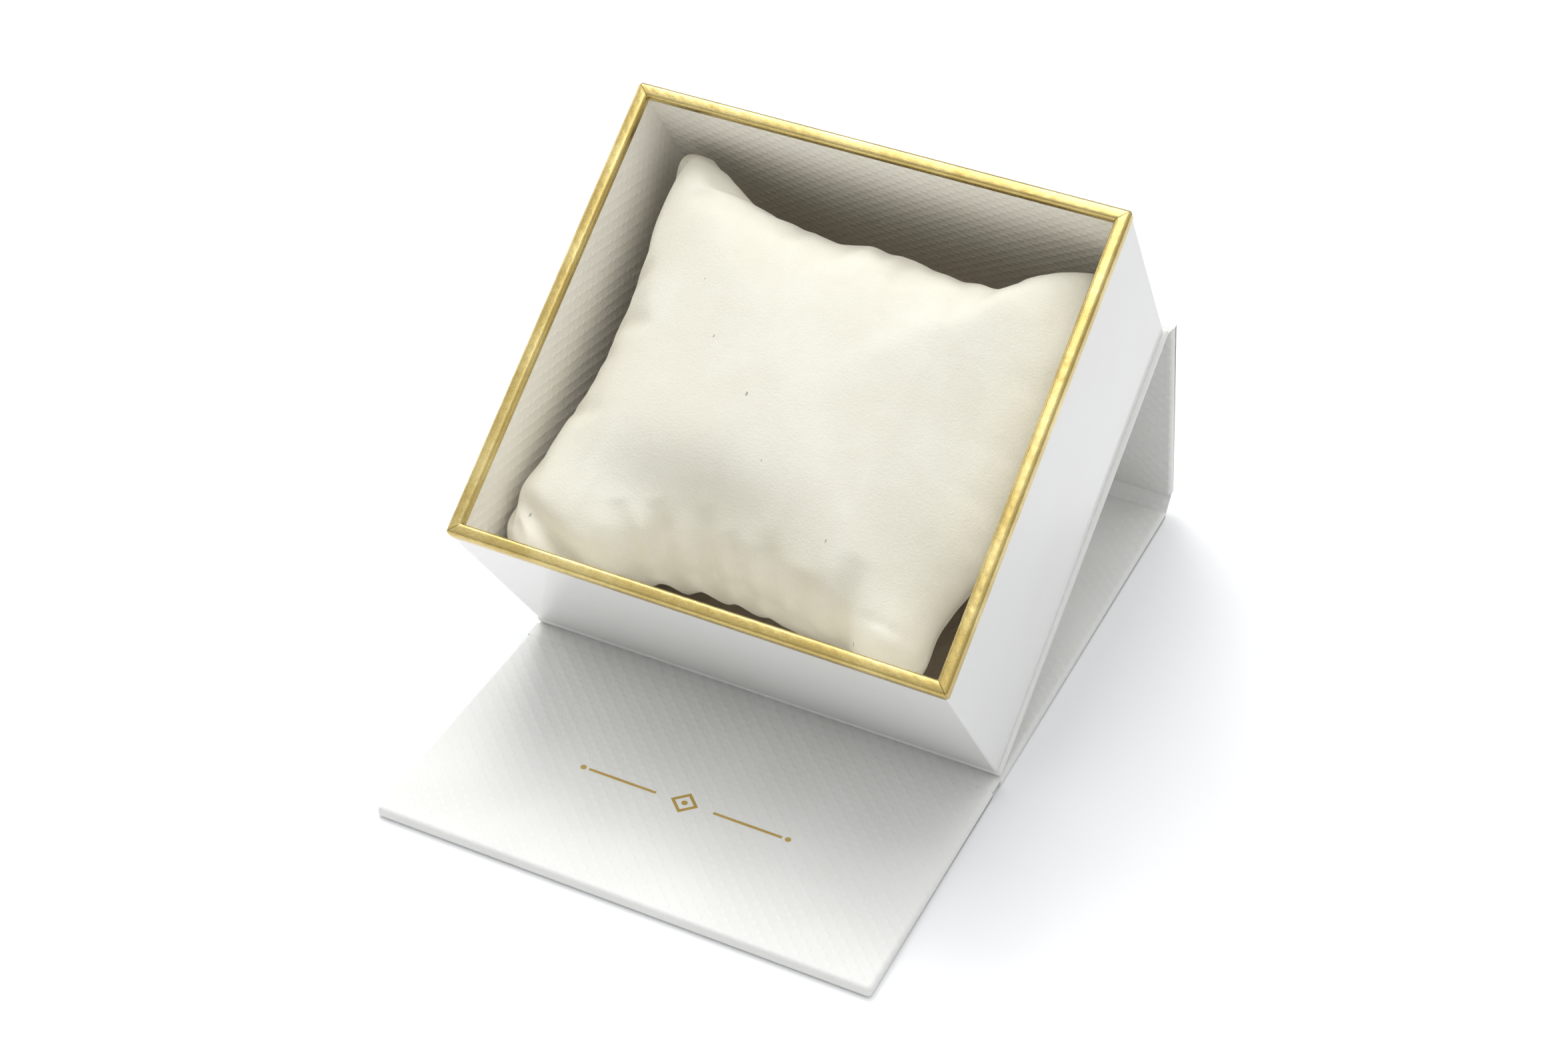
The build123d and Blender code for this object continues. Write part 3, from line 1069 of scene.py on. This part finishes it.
@dataclass(frozen=True)
class Cushion:
    """Stuffed velvet pillow, sewn round its waist, crowned, with ears in its corners."""

    link: LinkFrame
    waist_height: float = 33.5 * MM
    crown: float = 14.0 * MM
    foot: float = 2.9 * MM
    centre_x: float = 1.0 * MM
    centre_y: float = 40.0 * MM
    crown_power: float = 2.35
    foot_power: float = 2.4
    tuck: float = 0.14
    tuck_reach: float = 0.35
    around: int = 240
    rings: int = 59
    scale: float = 10.0
    voxel: float = 1.45 * MM
    frames: int = 20
    cap: float = 1.4 * MM
    still_from: float = 20.0 * MM
    still_over: float = 12.0 * MM
    still_share: float = 0.8
    dent_reach: float = 12.0 * MM
    seam_width: float = 0.9 * MM
    seam_depth: float = 0.25 * MM
    wall_gap: float = 0.1 * MM
    least_height: float = 2.25 * MM
    top_gap: float = 0.4 * MM
    ease: float = 1.2 * MM
    outline: tuple[tuple[float, float], ...] = (
        (-39.2, 83.4), (-38.8, 76.5), (-38.3, 70.0), (-38.0, 62.0), (-37.6, 51.5),
        (-38.2, 41.0), (-39.0, 33.0), (-41.0, 20.0), (-42.6, 11.0), (-42.2, 5.0),
        (-38.0, 3.0), (-30.0, 3.2), (-22.0, 4.6), (-16.0, 7.0), (-8.0, 8.1),
        (0.0, 8.0), (8.0, 7.3), (16.0, 6.2), (22.0, 5.8), (27.0, 3.4),
        (33.0, 2.8), (36.4, 3.2), (36.4, 7.0), (35.8, 12.0), (37.4, 18.0),
        (40.0, 24.5), (41.2, 40.0), (41.6, 58.0), (42.3, 70.0), (42.2, 78.0),
        (40.0, 81.6), (35.5, 79.6), (31.3, 76.2), (26.6, 72.8), (18.0, 72.9),
        (10.2, 73.9), (1.1, 74.7), (-4.6, 73.4), (-9.9, 74.0), (-17.8, 74.7),
        (-24.6, 76.2), (-30.0, 79.4), (-35.4, 83.4),
    )
    dents: tuple[Dent, ...] = (
        Dent((26.5, 74.0), (21.0, 60.0), 2.2, 2.2),
        Dent((-23.5, 2.6), (-38.5, 11.0), 1.7, 3.6, even=True),
        Dent((-30.0, 2.5), (-39.0, 5.5), 3.0, -1.2, even=True),
        Dent((-15.2, 5.0), (-22.0, 16.0), 1.8, 3.9),
        Dent((-9.4, 5.5), (-16.0, 18.0), 1.9, 4.4),
        Dent((-2.4, 5.5), (-7.5, 19.5), 2.0, 4.4),
        Dent((3.8, 5.5), (-2.0, 17.0), 1.9, 3.9),
        Dent((9.4, 5.0), (6.4, 16.5), 1.9, 3.2),
        Dent((15.2, 4.5), (13.6, 14.0), 1.8, 2.2),
        Dent((22.0, 2.6), (22.6, 18.0), 2.3, 3.8),
        Dent((30.0, 3.0), (30.5, 9.0), 4.0, -2.4, even=True),
        Dent((-27.0, 19.0), (6.0, 16.0), 7.5, 4.7, even=True),
        Dent((-31.0, 82.0), (-26.0, 68.0), 3.0, 1.0),
        Dent((-15.0, 6.5), (15.0, 6.5), 3.6, 3.0, even=True),
    )

    def waist(self, turns: np.ndarray) -> np.ndarray:
        """Distance from the middle to the waist seam in each direction.

        The measured corners of the outline are joined by straight runs and then rounded by
        averaging over a short arc.

        Args:
            turns: Directions in radians.

        Returns:
            Distances in metres.
        """
        corners = np.array(self.outline) * MM - np.array([self.centre_x, self.centre_y])
        angle = np.arctan2(corners[:, 1], corners[:, 0])
        order = np.argsort(angle)
        angle, corners = angle[order], corners[order]
        angle = np.concatenate([angle - math.tau, angle, angle + math.tau])
        corners = np.tile(corners, (3, 1))
        total = np.zeros_like(turns)
        for shift in np.linspace(-0.045, 0.045, 7):
            wanted = (turns + shift + math.pi) % math.tau - math.pi
            x = np.interp(wanted, angle, corners[:, 0])
            y = np.interp(wanted, angle, corners[:, 1])
            total += np.hypot(x, y)
        return total / 7

    def pillow(self) -> np.ndarray:
        """Starting shape as points on [ring, direction, xyz] in the tray's frame.

        Rings run from the middle of the underside over the waist to the crown. With t from -1
        to 1 the share of the waist distance is (1 - |t|^p)^(1/p), and the height above the
        waist is the crown's or the underside's height times |t|, each with its own power p.
        Just under the waist the share drops further by the tuck, in a smooth step.

        Returns:
            The points.
        """
        turns = np.linspace(0, math.tau, self.around, endpoint=False)
        waist = self.waist(turns)
        lift = np.sin(np.linspace(-math.pi / 2, math.pi / 2, self.rings + 2))[1:-1]
        power = np.where(lift > 0, self.crown_power, self.foot_power)
        share = (1 - np.abs(lift) ** power) ** (1 / power)
        tucked = np.clip(-lift / self.tuck_reach, 0, 1)
        share *= 1 - self.tuck * tucked**2 * (3 - 2 * tucked)
        tall = np.where(lift > 0, self.crown, self.waist_height - self.foot)
        height = self.waist_height + np.sign(lift) * np.abs(lift) * tall
        x = self.centre_x + share[:, None] * waist * np.cos(turns)
        y = self.centre_y + share[:, None] * waist * np.sin(turns)
        return np.stack(np.broadcast_arrays(x, y, height[:, None]), axis=-1)

    def start_mesh(self) -> bpy.types.Object:
        """Closed pillow of even quads, enlarged for the simulation."""
        points = self.pillow() * self.scale
        rings, around = points.shape[:2]
        poles = np.array([points[0].mean(axis=0), points[-1].mean(axis=0)])
        cloud = np.concatenate([points.reshape(-1, 3), poles])
        quads, _ = tube_quads(around, rings)
        row, column = quads // rings, quads % rings
        faces = (column * around + row).tolist()
        ring = np.arange(around)
        low = np.stack([ring, (ring + 1) % around, np.full(around, rings * around)], axis=1)
        high = low + np.array([(rings - 1) * around, (rings - 1) * around, 1])
        faces += low[:, ::-1].tolist() + high.tolist()
        mesh = bpy.data.meshes.new("pillow_start")
        mesh.from_pydata(cloud, [], faces)
        face_outwards(mesh)
        obj = placed("pillow_start", mesh)
        remesh = obj.modifiers.new("Remesh", "REMESH")
        remesh.mode = "VOXEL"
        remesh.voxel_size = self.voxel * self.scale
        return settled(obj, "cushion")

    def stuff(self, obj: bpy.types.Object) -> None:
        """Blow the cloth up from inside while its waist seam holds, then cap how far it moved.

        Towards the right wall, which it leans on, the cloth moves a fifth as far.

        Args:
            obj: The enlarged pillow, whose mesh is changed.
        """
        rest = vertex_points(obj.data)
        seam = np.abs(rest[:, 2] - self.waist_height * self.scale) < 1.1 * self.voxel * self.scale
        group = obj.vertex_groups.new(name="seam")
        group.add(np.flatnonzero(seam).tolist(), 1.0, "REPLACE")
        cloth = obj.modifiers.new("Stuffing", "CLOTH")
        for key, value in CLOTH.items():
            setattr(cloth.settings, key, value)
        cloth.settings.effector_weights.gravity = 0
        cloth.point_cache.frame_end = self.frames
        scene = bpy.context.scene
        for step in range(1, self.frames + 1):
            scene.frame_set(step)
        stuffed = obj.evaluated_get(bpy.context.evaluated_depsgraph_get())
        moved = vertex_points(stuffed.data) - rest
        far = np.linalg.norm(moved, axis=1, keepdims=True)
        moved *= np.minimum(1, self.cap * self.scale / np.maximum(far, 1e-9))
        right = np.clip((rest[:, :1] / self.scale - self.still_from) / self.still_over, 0, 1)
        moved *= 1 - self.still_share * right
        obj.modifiers.remove(cloth)
        scene.frame_set(1)
        set_points(obj.data, rest + moved)
        obj.vertex_groups.clear()

    def finish_shape(self, points: np.ndarray, normals: np.ndarray) -> np.ndarray:
        """Press in seam, creases and puckers, and flatten what the tray's walls touch.

        A dent lowers the top by depth * exp(-(distance from its line / width)^2), fading to
        nothing at its inner end, or alike towards both ends where it is even. The waist seam
        is a narrow groove along the normal.

        Args:
            points: Points in the tray's frame, in metres.
            normals: Their normals.

        Returns:
            The new points.
        """
        flat = points[:, :2] / MM
        upper = np.clip((points[:, 2] - self.waist_height) / self.dent_reach + 1.0, 0, 1)
        for dent in self.dents:
            start, run = np.array(dent.start), np.subtract(dent.end, dent.start)
            t = np.clip(((flat - start) @ run) / (run @ run), 0, 1)
            away = np.linalg.norm(flat - start - t[:, None] * run, axis=1)
            fade = np.sin(math.pi * (0.06 + 0.88 * t)) ** 0.5 if dent.even else (1 - t) ** 0.8
            points[:, 2] -= dent.depth * MM * np.exp(-((away / dent.width) ** 2)) * fade * upper
        seam = np.exp(-(((points[:, 2] - self.waist_height) / self.seam_width) ** 2))
        points -= normals * (self.seam_depth * seam)[:, None]
        shell = RIM_WIDTH + self.wall_gap
        limits = (
            (shell - TRAY_WIDTH / 2, TRAY_WIDTH / 2 - shell),
            (shell, TRAY_DEPTH - shell),
            (self.least_height, TRAY_HEIGHT - self.top_gap),
        )
        for axis, (low, high) in enumerate(limits):
            points[:, axis] = soft_limit(points[:, axis], low, high, self.ease)
        return points

    def build(self, finishes: Finishes) -> bpy.types.Object:
        """Make the cushion.

        Args:
            finishes: The box's materials.

        Returns:
            The piece.
        """
        obj = self.start_mesh()
        self.stuff(obj)
        smooth = obj.modifiers.new("Smooth", "SMOOTH")
        smooth.factor = 0.5
        smooth.iterations = 2
        finer = obj.modifiers.new("Finer", "SUBSURF")
        finer.levels = finer.render_levels = 1
        obj = settled(obj, "cushion")
        points = vertex_points(obj.data) / self.scale
        normals = np.zeros(len(points) * 3, np.float32)
        obj.data.vertices.foreach_get("normal", normals)
        points = self.finish_shape(points, normals.reshape(-1, 3).astype(float))
        set_points(obj.data, self.link.place(points[:, 0], points[:, 1], points[:, 2]))
        face_outwards(obj.data)
        obj.data.shade_smooth()
        dress(obj, finishes.velvet)
        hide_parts("cushion_cover", "cushion_filling")
        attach(obj, "cushion")
        return obj


def soft_limit(values: np.ndarray, low: float, high: float, ease: float) -> np.ndarray:
    """Keep values between two limits, easing in over a short stretch before each.

    Past limit - ease the excess e becomes ease * (1 - exp(-e / ease)).

    Args:
        values: The values.
        low: Lower limit.
        high: Upper limit.
        ease: Length of the easing stretch.

    Returns:
        The limited values.
    """
    over = np.maximum(values - (high - ease), 0)
    values = values - over + ease * (1 - np.exp(-over / ease))
    under = np.maximum((low + ease) - values, 0)
    return values + under - ease * (1 - np.exp(-under / ease))


def vertex_points(mesh: bpy.types.Mesh) -> np.ndarray:
    """A mesh's vertices as an array."""
    points = np.zeros(len(mesh.vertices) * 3, np.float32)
    mesh.vertices.foreach_get("co", points)
    return points.reshape(-1, 3).astype(float)


def set_points(mesh: bpy.types.Mesh, points: np.ndarray) -> None:
    """Move a mesh's vertices."""
    mesh.vertices.foreach_set("co", points.astype(np.float32).ravel())
    mesh.update()


def settled(obj: bpy.types.Object, name: str) -> bpy.types.Object:
    """New object from an object's modified mesh, which takes its place.

    Args:
        obj: The object with live modifiers, which is removed.
        name: Name of the new object.

    Returns:
        The new object.
    """
    bpy.context.view_layer.update()
    shown = obj.evaluated_get(bpy.context.evaluated_depsgraph_get())
    mesh = bpy.data.meshes.new_from_object(shown)
    bpy.data.objects.remove(obj)
    mesh.name = name
    return placed(name, mesh)


# --- studio
@dataclass(frozen=True)
class Softbox:
    """Square lamp that hangs at a place and faces the box; its power is in watts."""

    name: str
    place: Point
    size: float
    power: float
    colour: Colour

    def hang(self) -> None:
        """Put it in the scene."""
        data = bpy.data.lights.new(self.name, "AREA")
        data.size = self.size
        data.energy = self.power
        data.color = self.colour
        lamp = placed(self.name, data)
        lamp.location = self.place
        lamp.rotation_euler = (-lamp.location).to_track_quat("-Z", "Y").to_euler()


@dataclass(frozen=True)
class Studio:
    """Pale floor, soft light and the camera."""

    camera_place: Point = (0.15610, -0.36134, 0.33051)
    camera_turn: Point = (52.604, -1.844, 25.442)
    lens: float = 64.083
    sensor: float = 36.0
    clip: tuple[float, float] = (0.01, 50.0)
    floor_size: float = 8.0
    floor_white: Colour = (0.93, 0.93, 0.94)
    floor_grey: Colour = (0.925, 0.927, 0.935)
    sky_colour: Colour = (0.97, 0.985, 1.0)
    sky_heights: tuple[float, float] = (-0.05, 0.75)
    sky_strengths: tuple[float, float] = (0.36, 0.79)
    softboxes: tuple[Softbox, ...] = (
        Softbox("overhead_softbox", (-0.06, 0.1, 1.0), 0.8, 4.8, (1.0, 1.0, 0.99)),
        Softbox("left_softbox", (-0.4, 0.3, 1.0), 0.4, 2.1, (1.0, 0.995, 0.97)),
        Softbox("low_softbox", (-1.0, 0.3, 0.4), 0.6, 1.3, (1.0, 1.0, 1.0)),
    )

    def floor(self) -> None:
        """Lay a wide pale floor."""
        half = self.floor_size / 2
        mesh = bpy.data.meshes.new("studio_floor")
        corners = [(-half, -half, 0), (half, -half, 0), (half, half, 0), (-half, half, 0)]
        mesh.from_pydata(corners, [], [(0, 1, 2, 3)])
        obj = placed("studio_floor", mesh)
        colours = (self.floor_white, self.floor_grey)
        dress(obj, PlainFinish("studio_white", *colours, 0.6, 3.0, relief=0.0).material())

    def sky(self) -> None:
        """Surround the box with light that is bright overhead and dimmer round the horizon."""
        world = bpy.data.worlds.new("studio_sky")
        bpy.context.scene.world = world
        nodes = Nodes(world)
        place = nodes.node("ShaderNodeTexCoord", {}).outputs["Generated"]
        height = nodes.node("ShaderNodeSeparateXYZ", {0: place}).outputs["Z"]
        ends = dict(enumerate((height, *self.sky_heights, *self.sky_strengths)))
        strength = nodes.node("ShaderNodeMapRange", ends).outputs["Result"]
        inputs = {"Color": opaque(self.sky_colour), "Strength": strength}
        shade = nodes.node("ShaderNodeBackground", inputs).outputs["Background"]
        nodes.node("ShaderNodeOutputWorld", {"Surface": shade})

    def camera(self) -> None:
        """Set up the camera."""
        data = bpy.data.cameras.new("camera")
        data.lens = self.lens
        data.sensor_width = self.sensor
        data.clip_start, data.clip_end = self.clip
        obj = placed("camera", data)
        obj.location = self.camera_place
        obj.rotation_euler = Euler([math.radians(v) for v in self.camera_turn], "XYZ")
        bpy.context.scene.camera = obj

    def build(self) -> None:
        """Make the whole studio."""
        self.floor()
        self.sky()
        for softbox in self.softboxes:
            softbox.hang()
        self.camera()
        view = bpy.context.scene.view_settings
        view.view_transform = "Standard"
        view.look = "None"
        view.exposure = 0.0


def main() -> None:
    """Build the box in its studio."""
    logging.basicConfig(level=logging.INFO, format="%(message)s")
    links = cover_links()
    Studio().build()
    finishes = Finishes(links["tray"].heading)
    pieces = Cover(links, finishes).build()
    pieces += Tray(links["tray"], finishes).build()
    pieces.append(Cushion(links["tray"]).build(finishes))
    for piece in pieces:
        log.info("%s: %d faces", piece.name, len(piece.data.polygons))


if __name__ == "__main__":
    main()
